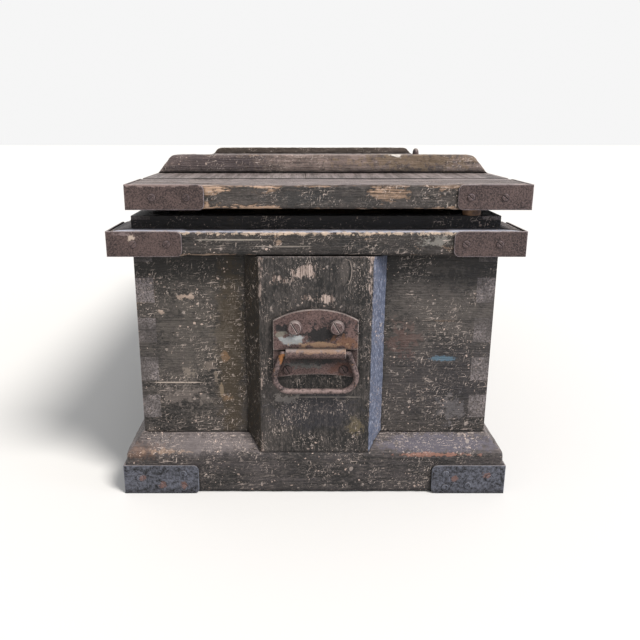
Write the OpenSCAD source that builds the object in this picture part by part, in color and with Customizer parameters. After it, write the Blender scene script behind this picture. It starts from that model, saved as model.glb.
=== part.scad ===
// Wooden tool chest: a dovetailed box in two boards a side, with a bevelled plinth,
// a collar below the rim, a handle stile at each end and a hinged lid with two battens.
// Millimetres. +Z is up, +X is the opening front, Y runs along the chest.
// The origin is on the floor under the middle of the box.

/* [Box] */
// Outer width of the box walls, back to front
box_w = 449; // [380:1:560]
// Outer length of the box walls
box_l = 1039; // [860:1:1300]
// Height of the wall tops above the floor
wall_top = 362.5; // [330:0.5:460]
// Thickness of the wall boards
wall_t = 23; // [18:0.5:28]
// Thickness of the floor boards
floor_t = 15; // [10:0.5:20]
// Number of floor boards laid across the box
floor_boards_n = 8; // [4:1:12]
// Thickness of the skids under the floor
skid_t = 12; // [8:1:18]
// Width of each skid
skid_w = 40; // [25:1:60]
// Open seam between neighbouring boards
seam = 0.5; // [0.2:0.1:1]

/* [Dovetails] */
// Distance between the middles of neighbouring pins
pin_pitch = 52; // [45:1:60]
// Height of a pin on the outer face
pin_h = 20; // [12:1:26]
// Slope of a pin's sides in degrees
pin_slope = 10; // [6:1:14]
// Height of the lowest pin's middle
pin_first = 88; // [80:1:100]

/* [Plinth, collar and stiles] */
// Thickness of the plinth, the collar and the end stiles
skirt_t = 23.5; // [18:0.5:28]
// Height of the plinth's flat face, below its 45 degree bevel
plinth_face_h = 57; // [45:1:70]
// Height of the collar
collar_h = 30.5; // [24:0.5:40]
// How far the walls stand above the collar
wall_rise = 15; // [8:1:24]
// Width of a stile's flat face
stile_face_w = 139; // [120:1:180]
// Width of the bevel down each side of a stile
stile_bevel_w = 21; // [10:1:30]

/* [Lid] */
// Thickness of the lid boards
lid_t = 29.5; // [22:0.5:36]
// Gap between the wall tops and the lid
lid_gap = 10; // [8:0.5:14]
// How far the lid's front edge passes the collar
lid_over = 2; // [0:0.5:4]
// Width of the cross-grained clamp at each end of the lid
clamp_w = 93; // [76:1:120]
// Width of the narrow front board
front_board_w = 50; // [40:1:80]
// Distance from the end of the lid to a batten
batten_inset = 190; // [150:1:240]
// Thickness of a batten along the chest
batten_t = 23; // [18:0.5:30]
// Height of the batten at the near end
near_batten_h = 26; // [18:0.5:32]
// Height of the batten at the far end, which is worn down
far_batten_h = 14; // [10:0.5:32]
// Slope of the batten ends in degrees
batten_slope = 51; // [40:1:70]
// Radius between a batten's end slope and its top
batten_round = 16; // [6:1:20]
// Radius of the two pads that the lid rests on
rest_pad_r = 11; // [6:0.5:11]
// Distance of a rest pad's middle from the wall's front face
rest_pad_in = 33.5; // [28:0.5:60]

/* [Corner straps] */
// Thickness of the corner straps
strap_t = 2; // [1.5:0.1:3]
// Radius of the strap ends
strap_round = 7; // [3:0.5:10]
// Leg length of the lid straps at the back
lid_strap_back = 91; // [80:1:100]
// Leg length of the lid straps at the front
lid_strap_front = 85; // [80:1:100]
// Leg length of the collar straps at the back
collar_strap_back = 88; // [80:1:100]
// Leg length of the collar straps at the front
collar_strap_front = 84; // [80:1:100]
// Leg length of the base straps at the back
base_strap_back = 96; // [86:1:110]
// Leg length of the base straps at the front
base_strap_front = 94; // [86:1:110]
// Height of the base straps
base_strap_h = 40.5; // [36:0.5:45]

/* [Handles] */
// Width of the handle plates
handle_w = 105; // [96:1:118]
// Height of the bail's axle above the floor
axle_z = 197; // [170:1:215]
// Height of the plates above the axle, at the sides
plate_up = 41.5; // [38:0.5:50]
// Rise of the arched top edge
arch_rise = 14; // [6:0.5:20]
// Depth of the back plate below the axle
plate_down = 34; // [30:0.5:40]
// Rise of the hollow in the back plate's bottom edge
hollow_rise = 5; // [2:0.5:8]
// Thickness of the handle plates
plate_t = 2.5; // [2:0.1:3.5]
// Length of the barrel rolled round the bail
barrel_l = 74; // [68:1:78]
// Radius of the bail's wire
bail_r = 3.5; // [3:0.1:4]
// Drop from the axle to the middle of the bail's grip
bail_drop = 49.5; // [46:0.5:60]
// Half width of the bail, to the middle of the wire
bail_half_w = 51; // [49:0.5:54]
// Radius of the bail's lower corners, to the middle of the wire
bail_round = 19; // [15:0.5:22]
// Angle by which the bail's arms splay
bail_splay = 20; // [14:1:22]

/* [Hinges and hasp] */
// Length of a back hinge
hinge_l = 90; // [70:1:120]
// Distance of each hinge's middle from the middle of the chest
hinge_y = 330; // [260:1:360]
// Thickness of the hinge leaves
hinge_leaf_t = 2.5; // [2:0.1:3]
// Radius of the hinge and hasp pins
pin_r = 2; // [1.5:0.1:2.5]
// Width of the hasp
hasp_w = 44; // [40:1:56]
// Thickness of the hasp's plates
hasp_t = 2.5; // [2:0.1:3]
// Radius of the hasp's knuckles
hasp_knuckle_r = 4; // [3.8:0.1:5]
// Distance of the staple from the lid's front edge
staple_in = 45; // [40:1:50]
// Height of the staple above the lid
staple_h = 23; // [20:1:30]
// Radius of the staple's wire
staple_r = 4.5; // [3:0.1:5]
// Distance between the staple's legs
staple_pitch = 18; // [16:0.5:20]

/* [Till] */
// Length of the sliding till along the chest
till_l = 300; // [200:1:400]
// Height of the till
till_h = 62; // [45:1:75]
// Thickness of the till's sides and ends
till_t = 11; // [8:0.5:14]
// Thickness of the till's bottom
till_bottom_t = 6; // [5:0.5:9]
// Drop from the wall tops to the till's rim
till_drop = 12; // [6:1:20]
// Width of the runners that carry the till
runner_w = 14; // [10:1:20]
// Height of the runners
runner_h = 24; // [16:1:30]

/* [Hidden] */
$fn = 48;
fit = 0.05;               // radial clearance round a pin, a screw or an axle
slack = 0.25;             // clearance between faces that slide past each other
side_play = 1.5;          // clearance at each side of the till
till_end_play = 3;        // clearance at each end of the till's travel
screw_r = 2.5;
screw_l = 17;             // below the head
screw_head_r = 4.2;
screw_head_t = 1;
slot_w = 1.1;
nail_r = 1.5;
nail_l = 16;
nail_head_r = 4.5;
handle_screw_head_r = 9.5;
handle_screw_head_t = 4.5;
lower_screw_head_r = 6;
lower_screw_head_t = 1.8;
floor_z = skid_t + floor_t;
collar_z = wall_top - wall_rise - collar_h;
lid_z = wall_top + lid_gap;
lid_top = lid_z + lid_t;
plinth_h = plinth_face_h + skirt_t;
skirt_x = box_w / 2 + skirt_t;
skirt_y = box_l / 2 + skirt_t;
lid_back = -(box_w / 2 - strap_t);
lid_front = skirt_x + lid_over;
lid_w = lid_front - lid_back;
wide_board_w = (lid_w - front_board_w) / 2;
pin_root_h = pin_h + 2 * wall_t * tan(pin_slope);
pins_n = floor((wall_top - pin_first - pin_root_h / 2) / pin_pitch) + 1;
split_pin = floor((pins_n + 1) / 2);
end_split_z = pin_first + split_pin * pin_pitch - pin_root_h / 2;
long_split_z = pin_first + (split_pin - 0.5) * pin_pitch;
inner_w = box_w - 2 * wall_t;
inner_l = box_l - 2 * wall_t;
hinge_x = -(box_w / 2 + 3);
hinge_z = wall_top + lid_gap / 2;
hinge_knuckle_r = lid_gap / 2;
hinge_leaf_x = hinge_x + hinge_knuckle_r + 0.5;
hinge_segments = 5;
wall_leaf_w = -box_w / 2 + wall_t - 1 - hinge_leaf_x;
lid_leaf_w = 45;
barrel_r = bail_r + fit + plate_t;
axle_d = plate_t + barrel_r;
elbow_x = barrel_l / 2 + bail_r + 0.7;
screw_x = 26;
screw_up = 32.7;
lower_screw_x = 35;
lower_screw_down = 23;
hasp_x = skirt_x + hasp_knuckle_r;
hasp_low_z = collar_z + collar_h - hasp_knuckle_r - 0.5;
hasp_link_l = lid_top + hasp_knuckle_r + 0.5 - hasp_low_z;
hasp_high_z = hasp_low_z - hasp_link_l;
hasp_leaf_l = hasp_x - lid_front + staple_in + 16;
hasp_slot_w = staple_pitch + 2 * staple_r + 4;
hasp_slot_h = 2 * staple_r + 4;
staple_depth = 18;
till_z = wall_top - till_drop - till_h;
till_w = inner_w - 2 * side_play;
till_start = -inner_l / 2 + till_end_play;
strap_spots = [30, 70];
base_spots = [[19, 23], [46, 12], [76, 9], [76, 29]];
iron = "#4a3530";
dark_iron = "#33343a";
green_wood = "#3b3c32";
worn_wood = "#5a4f44";
bare_wood = "#8a7358";

// A side of the box: its outward turn, its distance from the middle and its inner length
function side_turn(side) = side == "near" ? 180 : side == "far" ? 0 : side == "front" ? -90 : 90;
function side_out(side) = side == "near" || side == "far" ? box_l / 2 : box_w / 2;
function side_len(side) = side == "near" || side == "far" ? box_w : box_l;

// Puts a piece, drawn with its back on y = 0 and its face towards +Y, on the outside of a wall
module on_side(side, z = 0) {
  rotate(side_turn(side)) translate([0, side_out(side), z]) children();
}

// Puts a piece, drawn with the wood towards +X and +Y, on a corner of a rectangle
module on_corner(side, end, x, y, z) {
  translate([x, end * y, z])
    mirror([side > 0 ? 1 : 0, 0, 0]) mirror([0, end > 0 ? 1 : 0, 0]) children();
}

// An outline drawn in Y and Z, extruded along X about the middle
module along_x(length) {
  rotate([90, 0, 90]) translate([0, 0, -length / 2]) linear_extrude(length) children();
}

// An outline drawn in X and Z, extruded along +Y
module along_y(length) {
  rotate([90, 0, 0]) translate([0, 0, -length]) linear_extrude(length) children();
}

// Dovetail pins of one end wall, across the whole box
module pin_prisms(end) {
  mirror([0, end < 0 ? 1 : 0, 0])
    for (i = [0 : pins_n - 1])
      translate([0, box_l / 2, pin_first + i * pin_pitch])
        along_x(box_w)
          polygon([[0, -pin_h / 2], [0, pin_h / 2], [-wall_t, pin_root_h / 2], [-wall_t, -pin_root_h / 2]]);
}

// The lower or the upper board of a wall that is jointed at a height
module board_half(upper, split_z) {
  low = upper ? split_z + seam : floor_z;
  high = upper ? wall_top : split_z;
  intersection() {
    children();
    translate([-box_w, -box_l, low]) cube([2 * box_w, 2 * box_l, high - low]);
  }
}

module end_wall(end, upper) {
  color(green_wood) board_half(upper, end_split_z) {
    union() {
      translate([-inner_w / 2, end > 0 ? inner_l / 2 : -box_l / 2, 0])
        cube([inner_w, wall_t, wall_top]);
      pin_prisms(end);
    }
  }
}

module long_wall(side, upper) {
  color(green_wood) difference() {
    board_half(upper, long_split_z)
      translate([side > 0 ? inner_w / 2 : -box_w / 2, -box_l / 2, 0]) cube([wall_t, box_l, wall_top]);
    pin_prisms(-1);
    pin_prisms(1);
    if (upper && side < 0) hinge_wall_fixings(screw_r + fit);
  }
}

module floor_boards() {
  board_w = (box_l - (floor_boards_n - 1) * seam) / floor_boards_n;
  color(bare_wood)
    for (i = [0 : floor_boards_n - 1])
      translate([-box_w / 2, -box_l / 2 + i * (board_w + seam), skid_t]) cube([box_w, board_w, floor_t]);
}

module floor_skids() {
  spread = (box_w - skid_w) / 2 - 20;
  color(bare_wood)
    for (x = [-spread, 0, spread])
      translate([x - skid_w / 2, -box_l / 2, 0]) cube([skid_w, box_l, skid_t]);
}

// A rail round the box with mitred ends and a 45 degree bevel along its top
module rail(side, z, height, bevel) {
  inner = side_len(side);
  on_side(side, z) intersection() {
    along_x(inner + 2 * skirt_t)
      polygon([[0, 0], [skirt_t, 0], [skirt_t, height - bevel], [skirt_t - bevel, height], [0, height]]);
    linear_extrude(height)
      polygon([[-inner / 2, 0], [inner / 2, 0], [inner / 2 + skirt_t, skirt_t], [-inner / 2 - skirt_t, skirt_t]]);
  }
}

module plinth(side) {
  color(green_wood) difference() {
    rail(side, 0, plinth_h, skirt_t);
    base_fixings(nail_r + fit, nail_l);
  }
}

module collar(side) {
  color(green_wood) difference() {
    rail(side, collar_z, collar_h, 0);
    collar_fixings(screw_r + fit, screw_l);
    if (side == "front") hasp_fixings(fit);
  }
}

// The stile stands on the plinth's bevel and runs up to the collar
module stile(end) {
  root = stile_face_w / 2 + stile_bevel_w;
  face = stile_face_w / 2;
  color(green_wood) difference() {
    on_side(end > 0 ? "far" : "near") intersection() {
      linear_extrude(collar_z) polygon([[-root, 0], [root, 0], [face, skirt_t], [-face, skirt_t]]);
      along_x(2 * root)
        polygon([[0, plinth_h], [skirt_t, plinth_face_h], [skirt_t, collar_z], [0, collar_z]]);
    }
    handle_fixings(end, screw_r + fit);
  }
}

module lid_board(x, width) {
  length = 2 * (skirt_y - clamp_w - seam);
  translate([x, -length / 2, lid_z]) cube([width, length, lid_t]);
}

module lid_board_front() {
  color(worn_wood) difference() {
    lid_board(lid_front - front_board_w, front_board_w);
    staple_legs(fit);
  }
}

module lid_board_middle() {
  color(worn_wood) lid_board(lid_back + wide_board_w, wide_board_w - seam);
}

module lid_board_back() {
  color(worn_wood) difference() {
    lid_board(lid_back, wide_board_w - seam);
    hinge_lid_fixings(screw_r + fit);
  }
}

module lid_clamp(end) {
  color(green_wood) difference() {
    translate([lid_back, end > 0 ? skirt_y - clamp_w : -skirt_y, lid_z]) cube([lid_w, clamp_w, lid_t]);
    lid_fixings(screw_r + fit, screw_l);
  }
}

// Half of a batten's outline: a straight end slope rounded into the top
function batten_end(height) =
  let (reach = height / tan(batten_slope) + batten_round * tan(batten_slope / 2))
  [[0, 0], for (a = [90 + batten_slope : -batten_slope / 6 : 90])
    [reach + batten_round * cos(a), height - batten_round + batten_round * sin(a)]];

module batten(end, height) {
  half = batten_end(height);
  far_half = [for (i = [len(half) - 1 : -1 : 0]) [lid_w - half[i][0], half[i][1]]];
  y = skirt_y - batten_inset - batten_t;
  color(worn_wood) translate([lid_back, end > 0 ? y : -y - batten_t, lid_top])
    along_y(batten_t) polygon(concat(half, far_half));
}

module lid_rest_pads() {
  color("#6a4a34")
    for (end = [-1, 1])
      translate([box_w / 2 - rest_pad_in, end * (box_l - wall_t) / 2, wall_top])
        cylinder(r = rest_pad_r, h = lid_gap - slack);
}

// One leg of a strap, along +X, with its free end rounded
module strap_leg(length, height) {
  translate([-strap_t, 0, 0]) mirror([0, 1, 0]) along_y(strap_t) {
    square([length + strap_t - strap_round, height]);
    translate([0, strap_round]) square([length + strap_t, height - 2 * strap_round]);
    for (z = [strap_round, height - strap_round])
      translate([length + strap_t - strap_round, z]) circle(strap_round);
  }
}

module strap(length, height) {
  strap_leg(length, height);
  mirror([1, -1, 0]) strap_leg(length, height);
}

// A fixing through the near leg, from y = -strap_t inwards
module leg_fixing(spot, radius, length, head_r = 0, head_t = 0) {
  translate([spot[0], -strap_t, spot[1]]) rotate([-90, 0, 0]) cylinder(r = radius, h = length);
  if (head_t > 0)
    translate([spot[0], -strap_t, spot[1]]) rotate([90, 0, 0]) difference() {
      cylinder(r = head_r, h = head_t);
      if (head_r < nail_head_r)
        rotate(40) translate([-head_r, -slot_w / 2, head_t / 2]) cube([2 * head_r, slot_w, head_t]);
    }
}

module corner_fixings(spots, radius, length, head_r = 0, head_t = 0) {
  for (spot = spots) {
    leg_fixing(spot, radius, length, head_r, head_t);
    mirror([1, -1, 0]) leg_fixing(spot, radius, length, head_r, head_t);
  }
}

function mid_spots(height) = [for (x = strap_spots) [x, height / 2]];

module lid_fixings(radius, length, head_r = 0, head_t = 0) {
  for (end = [-1, 1], side = [-1, 1])
    on_corner(side, end, side > 0 ? lid_front : lid_back, skirt_y, lid_z)
      corner_fixings(mid_spots(lid_t), radius, length, head_r, head_t);
}

module collar_fixings(radius, length, head_r = 0, head_t = 0) {
  for (end = [-1, 1], side = [-1, 1])
    on_corner(side, end, side * skirt_x, skirt_y, collar_z)
      corner_fixings(mid_spots(collar_h), radius, length, head_r, head_t);
}

module base_fixings(radius, length, head_r = 0, head_t = 0) {
  for (end = [-1, 1], side = [-1, 1])
    on_corner(side, end, side * skirt_x, skirt_y, 0)
      corner_fixings(base_spots, radius, length, head_r, head_t);
}

module lid_straps(end) {
  color(iron) difference() {
    for (side = [-1, 1])
      on_corner(side, end, side > 0 ? lid_front : lid_back, skirt_y, lid_z)
        strap(side > 0 ? lid_strap_front : lid_strap_back, lid_t);
    lid_fixings(screw_r + fit, screw_l);
  }
}

module collar_straps(end) {
  color(iron) difference() {
    for (side = [-1, 1])
      on_corner(side, end, side * skirt_x, skirt_y, collar_z)
        strap(side > 0 ? collar_strap_front : collar_strap_back, collar_h);
    collar_fixings(screw_r + fit, screw_l);
  }
}

module base_straps(end) {
  color(dark_iron) difference() {
    for (side = [-1, 1])
      on_corner(side, end, side * skirt_x, skirt_y, 0)
        strap(side > 0 ? base_strap_front : base_strap_back, base_strap_h);
    base_fixings(nail_r + fit, nail_l);
  }
}

module lid_strap_screws() {
  color(iron) lid_fixings(screw_r, screw_l, screw_head_r, screw_head_t);
}

module collar_strap_screws() {
  color(iron) collar_fixings(screw_r, screw_l, screw_head_r, screw_head_t);
}

module base_strap_nails() {
  color(dark_iron) base_fixings(nail_r, nail_l, nail_head_r, screw_head_t);
}

// Handle pieces are drawn on the far end, with y = 0 on the stile's face, and turned for the near end
module on_stile(end) {
  mirror([0, end < 0 ? 1 : 0, 0]) translate([0, skirt_y, axle_z]) children();
}

function arc_r(half_chord, rise) = (half_chord * half_chord + rise * rise) / (2 * rise);

// The outline of the plates above a height: straight sides under an arched top
module arched_outline(bottom) {
  radius = arc_r(handle_w / 2, arch_rise);
  intersection() {
    translate([-handle_w / 2, bottom]) square([handle_w, plate_up + arch_rise - bottom]);
    translate([0, plate_up + arch_rise - radius]) circle(radius, $fn = 160);
  }
}

module handle_plate(end) {
  radius = arc_r(handle_w / 2, hollow_rise);
  color(iron) difference() {
    on_stile(end) along_y(plate_t) difference() {
      arched_outline(-plate_down);
      translate([0, -plate_down + hollow_rise - radius]) circle(radius, $fn = 240);
    }
    handle_fixings(end, screw_r + fit);
  }
}

// The clip lies on the plate, and its middle is rolled round the bail's axle
module handle_clip(end) {
  color(iron) difference() {
    on_stile(end) {
      translate([0, plate_t, 0]) along_y(plate_t) {
        arched_outline(bail_r + 0.5);
        translate([-barrel_l / 2, 0]) square([barrel_l, barrel_r]);
      }
      translate([-barrel_l / 2, axle_d, 0]) rotate([0, 90, 0]) cylinder(r = barrel_r, h = barrel_l);
    }
    on_stile(end) translate([-barrel_l, axle_d, 0]) rotate([0, 90, 0])
      cylinder(r = bail_r + fit, h = 2 * barrel_l);
    handle_fixings(end, screw_r + fit);
  }
}

// A straight stretch of the bail between two points of its plane
module bail_rod(a, b) {
  translate([a[0], 0, a[1]]) rotate([0, atan2(b[0] - a[0], b[1] - a[1]), 0])
    cylinder(r = bail_r, h = norm(b - a));
}

// Half of the bail: axle, splayed arm, rounded corner and grip
module bail_half() {
  corner = [bail_half_w - bail_round, -bail_drop + bail_round];
  arm_low = corner + bail_round * [cos(bail_splay), sin(bail_splay)];
  arm_top = [elbow_x, 0];
  bail_rod([0, 0], arm_top);
  translate([arm_top[0], 0, arm_top[1]]) sphere(bail_r);
  bail_rod(arm_top, arm_low);
  translate([arm_low[0], 0, arm_low[1]]) sphere(bail_r);
  translate([corner[0], 0, corner[1]]) rotate([90, 0, 0]) rotate(-90)
    rotate_extrude(angle = 90 + bail_splay) translate([bail_round, 0]) circle(bail_r);
  bail_rod([0, -bail_drop], [corner[0], -bail_drop]);
}

module bail(end) {
  color(iron) on_stile(end) translate([0, axle_d, 0]) {
    bail_half();
    mirror([1, 0, 0]) bail_half();
  }
}

module slotted_head(radius, height) {
  difference() {
    cylinder(r1 = radius, r2 = radius * 0.8, h = height);
    rotate(60) translate([-radius, -slot_w / 2, height - 1.2]) cube([2 * radius, slot_w, 2]);
  }
}

// Shanks of one handle's four screws, from the plates' faces into the stile
module handle_fixings(end, radius) {
  on_stile(end) {
    for (x = [-screw_x, screw_x])
      translate([x, 2 * plate_t, screw_up]) rotate([90, 0, 0]) cylinder(r = radius, h = screw_l + 3);
    for (x = [-lower_screw_x, lower_screw_x])
      translate([x, plate_t, -lower_screw_down]) rotate([90, 0, 0]) cylinder(r = radius, h = screw_l);
  }
}

module handle_screws() {
  color(iron) for (end = [-1, 1]) {
    handle_fixings(end, screw_r);
    on_stile(end) {
      for (x = [-screw_x, screw_x])
        translate([x, 2 * plate_t, screw_up]) rotate([-90, 0, 0])
          slotted_head(handle_screw_head_r, handle_screw_head_t);
      for (x = [-lower_screw_x, lower_screw_x])
        translate([x, plate_t, -lower_screw_down]) rotate([-90, 0, 0])
          slotted_head(lower_screw_head_r, lower_screw_head_t);
    }
  }
}

// Knuckles along Y about the origin: every second segment, from the first or the second one on
module knuckles(length, segments, first, radius) {
  step = length / segments;
  for (i = [first : 2 : segments - 1])
    translate([0, -length / 2 + i * step + slack / 2, 0])
      rotate([-90, 0, 0]) cylinder(r = radius, h = step - slack);
}

// A hinge leaf whose knuckles sit on the pin; dir is 1 for the lid's leaf and -1 for the wall's
module hinge_leaf(width, first, dir) {
  step = hinge_l / hinge_segments;
  z = dir > 0 ? hinge_knuckle_r - hinge_leaf_t : -hinge_knuckle_r;
  reach = hinge_leaf_x - hinge_x;
  difference() {
    union() {
      translate([reach, -hinge_l / 2, z]) cube([width, hinge_l, hinge_leaf_t]);
      for (i = [first : 2 : hinge_segments - 1])
        translate([0, -hinge_l / 2 + i * step + slack / 2, z]) cube([reach + 1, step - slack, hinge_leaf_t]);
      knuckles(hinge_l, hinge_segments, first, hinge_knuckle_r);
    }
    rotate([90, 0, 0]) cylinder(r = pin_r + fit, h = 2 * hinge_l, center = true);
  }
}

module at_hinges() {
  for (y = [-hinge_y, hinge_y]) translate([hinge_x, y, hinge_z]) children();
}

function hinge_rows() = [-hinge_l / 3, 0, hinge_l / 3];

module hinge_wall_fixings(radius) {
  for (y = [-hinge_y, hinge_y], row = hinge_rows())
    translate([hinge_leaf_x + wall_leaf_w / 2, y + row, wall_top + hinge_leaf_t - screw_l])
      cylinder(r = radius, h = screw_l);
}

module hinge_lid_fixings(radius) {
  for (y = [-hinge_y, hinge_y], row = hinge_rows())
    translate([hinge_leaf_x + lid_leaf_w / 2, y + row, lid_z - hinge_leaf_t])
      cylinder(r = radius, h = screw_l);
}

module hinge_wall_leaves() {
  color(dark_iron) difference() {
    at_hinges() hinge_leaf(wall_leaf_w, 0, -1);
    hinge_wall_fixings(screw_r + fit);
  }
}

module hinge_lid_leaves() {
  color(dark_iron) difference() {
    at_hinges() hinge_leaf(lid_leaf_w, 1, 1);
    hinge_lid_fixings(screw_r + fit);
  }
}

module hinge_pins() {
  color(dark_iron) at_hinges() rotate([90, 0, 0]) cylinder(r = pin_r, h = hinge_l, center = true);
}

module hinge_wall_screws() {
  color(dark_iron) {
    hinge_wall_fixings(screw_r);
    translate([0, 0, screw_l]) intersection() {
      hinge_wall_fixings(screw_head_r);
      translate([-box_w, -box_l, 0]) cube([box_w, 2 * box_l, wall_top + hinge_leaf_t - screw_l + screw_head_t]);
    }
  }
}

module hinge_lid_screws() {
  color(dark_iron) {
    hinge_lid_fixings(screw_r);
    translate([0, 0, -screw_l]) intersection() {
      hinge_lid_fixings(screw_head_r);
      translate([-box_w, -box_l, lid_z - hinge_leaf_t + screw_l - screw_head_t])
        cube([box_w, 2 * box_l, lid_top]);
    }
  }
}

hasp_segments = 3;

module hasp_bore() {
  rotate([90, 0, 0]) cylinder(r = pin_r + fit, h = 2 * hasp_w, center = true);
}

// The fixed plate on the collar, with the two outer lower knuckles
module hasp_plate() {
  color(iron) difference() {
    union() {
      translate([skirt_x, -hasp_w / 2, collar_z + 1])
        cube([hasp_t, hasp_w, hasp_low_z - hasp_knuckle_r - slack - collar_z - 1]);
      for (end = [-1, 1])
        translate([skirt_x, end * hasp_w / 3 - hasp_w / 6 + slack / 2, collar_z + 1])
          cube([hasp_t, hasp_w / 3 - slack, hasp_low_z - collar_z - 1]);
      translate([hasp_x, 0, hasp_low_z]) knuckles(hasp_w, hasp_segments, 0, hasp_knuckle_r);
    }
    translate([hasp_x, 0, hasp_low_z]) hasp_bore();
    hasp_fixings(fit);
  }
}

// The hasp's screws are countersunk, so that the link can hang against the plate
module hasp_fixings(clearance) {
  for (y = [-hasp_w / 3, hasp_w / 3])
    translate([skirt_x + hasp_t, y, collar_z + collar_h / 3]) rotate([0, -90, 0]) {
      cylinder(r = screw_r + clearance, h = screw_l);
      cylinder(r = screw_head_r + clearance, h = screw_head_t);
    }
}

module hasp_screws() {
  color(iron) hasp_fixings(0);
}

// The link hangs from the plate: one upper knuckle, two lower ones
module hasp_link() {
  gap = hasp_knuckle_r + slack;
  color(iron) difference() {
    union() {
      translate([hasp_x - hasp_t / 2, -hasp_w / 2, hasp_high_z + gap])
        cube([hasp_t, hasp_w, hasp_link_l - 2 * gap]);
      translate([hasp_x - hasp_t / 2, -hasp_w / 6 + slack / 2, hasp_low_z - gap - 1])
        cube([hasp_t, hasp_w / 3 - slack, gap + 1]);
      for (end = [-1, 1])
        translate([hasp_x - hasp_t / 2, end * hasp_w / 3 - hasp_w / 6 + slack / 2, hasp_high_z])
          cube([hasp_t, hasp_w / 3 - slack, gap + 1]);
      translate([hasp_x, 0, hasp_low_z]) knuckles(hasp_w, hasp_segments, 1, hasp_knuckle_r);
      translate([hasp_x, 0, hasp_high_z]) knuckles(hasp_w, hasp_segments, 0, hasp_knuckle_r);
    }
    translate([hasp_x, 0, hasp_low_z]) hasp_bore();
    translate([hasp_x, 0, hasp_high_z]) hasp_bore();
  }
}

// The slotted leaf hangs from the link and drops over the staple when it is closed
module hasp_leaf() {
  gap = hasp_knuckle_r + slack;
  slot_down = hasp_x - lid_front + staple_in;
  color(iron) difference() {
    union() {
      translate([hasp_x - hasp_t / 2, 0, hasp_high_z]) rotate([90, 0, 90]) linear_extrude(hasp_t) {
        translate([-hasp_w / 2, -hasp_leaf_l + hasp_w / 4]) square([hasp_w, hasp_leaf_l - hasp_w / 4 - gap]);
        translate([-hasp_w / 4, -hasp_leaf_l]) square([hasp_w / 2, hasp_w / 4]);
        for (y = [-hasp_w / 4, hasp_w / 4])
          translate([y, -hasp_leaf_l + hasp_w / 4]) circle(hasp_w / 4);
      }
      translate([hasp_x - hasp_t / 2, -hasp_w / 6 + slack / 2, hasp_high_z - gap - 1])
        cube([hasp_t, hasp_w / 3 - slack, gap + 1]);
      translate([hasp_x, 0, hasp_high_z]) knuckles(hasp_w, hasp_segments, 1, hasp_knuckle_r);
    }
    translate([hasp_x, 0, hasp_high_z]) hasp_bore();
    translate([hasp_x - hasp_t, -hasp_slot_w / 2, hasp_high_z - slot_down - hasp_slot_h / 2])
      cube([2 * hasp_t, hasp_slot_w, hasp_slot_h]);
  }
}

module hasp_lower_pin() {
  color(iron) translate([hasp_x, 0, hasp_low_z]) rotate([90, 0, 0]) cylinder(r = pin_r, h = hasp_w, center = true);
}

module hasp_upper_pin() {
  color(iron) translate([hasp_x, 0, hasp_high_z]) rotate([90, 0, 0]) cylinder(r = pin_r, h = hasp_w, center = true);
}

module staple_legs(clearance) {
  rise = staple_h - staple_r - staple_pitch / 2;
  for (y = [-staple_pitch / 2, staple_pitch / 2])
    translate([lid_front - staple_in, y, lid_top - staple_depth])
      cylinder(r = staple_r + clearance, h = staple_depth + rise);
}

// The staple stands across the lid's front board, with its loop seen from the front
module lid_staple() {
  rise = staple_h - staple_r - staple_pitch / 2;
  color(dark_iron) {
    staple_legs(0);
    translate([lid_front - staple_in, 0, lid_top + rise]) rotate([90, 0, 90])
      rotate_extrude(angle = 180) translate([staple_pitch / 2, 0]) circle(staple_r);
  }
}

module till_sides() {
  color(bare_wood)
    for (x = [-till_w / 2, till_w / 2 - till_t])
      translate([x, till_start, till_z + till_bottom_t]) cube([till_t, till_l, till_h - till_bottom_t]);
}

module till_ends() {
  color(bare_wood)
    for (y = [till_start, till_start + till_l - till_t])
      translate([-till_w / 2 + till_t, y, till_z + till_bottom_t])
        cube([till_w - 2 * till_t, till_t, till_h - till_bottom_t]);
}

module till_bottom() {
  color(bare_wood) translate([-till_w / 2, till_start, till_z]) cube([till_w, till_l, till_bottom_t]);
}

module till_runners() {
  color(bare_wood)
    for (x = [-inner_w / 2, inner_w / 2 - runner_w])
      translate([x, -inner_l / 2, till_z - slack - runner_h]) cube([runner_w, inner_l, runner_h]);
}

end_wall(-1, false);  // end_wall_near_lower
end_wall(-1, true);  // end_wall_near_upper
end_wall(1, false);  // end_wall_far_lower
end_wall(1, true);  // end_wall_far_upper
long_wall(1, false);  // front_wall_lower
long_wall(1, true);  // front_wall_upper
long_wall(-1, false);  // back_wall_lower
long_wall(-1, true);  // back_wall_upper
floor_boards();
floor_skids();
plinth("near");  // plinth_near
plinth("far");  // plinth_far
plinth("front");  // plinth_front
plinth("back");  // plinth_back
collar("near");  // collar_near
collar("far");  // collar_far
collar("front");  // collar_front
collar("back");  // collar_back
stile(-1);  // stile_near
stile(1);  // stile_far
lid_board_front();
lid_board_middle();
lid_board_back();
lid_clamp(-1);  // lid_clamp_near
lid_clamp(1);  // lid_clamp_far
batten(-1, near_batten_h);  // batten_near
batten(1, far_batten_h);  // batten_far
lid_rest_pads();
lid_straps(-1);  // lid_straps_near
lid_straps(1);  // lid_straps_far
collar_straps(-1);  // collar_straps_near
collar_straps(1);  // collar_straps_far
base_straps(-1);  // base_straps_near
base_straps(1);  // base_straps_far
lid_strap_screws();
collar_strap_screws();
base_strap_nails();
handle_plate(-1);  // handle_plate_near
handle_plate(1);  // handle_plate_far
handle_clip(-1);  // handle_clip_near
handle_clip(1);  // handle_clip_far
bail(-1);  // bail_near
bail(1);  // bail_far
handle_screws();
hinge_wall_leaves();
hinge_lid_leaves();
hinge_pins();
hinge_wall_screws();
hinge_lid_screws();
hasp_plate();
hasp_link();
hasp_leaf();
hasp_lower_pin();
hasp_upper_pin();
hasp_screws();
lid_staple();
till_sides();
till_ends();
till_bottom();
till_runners();
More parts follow.
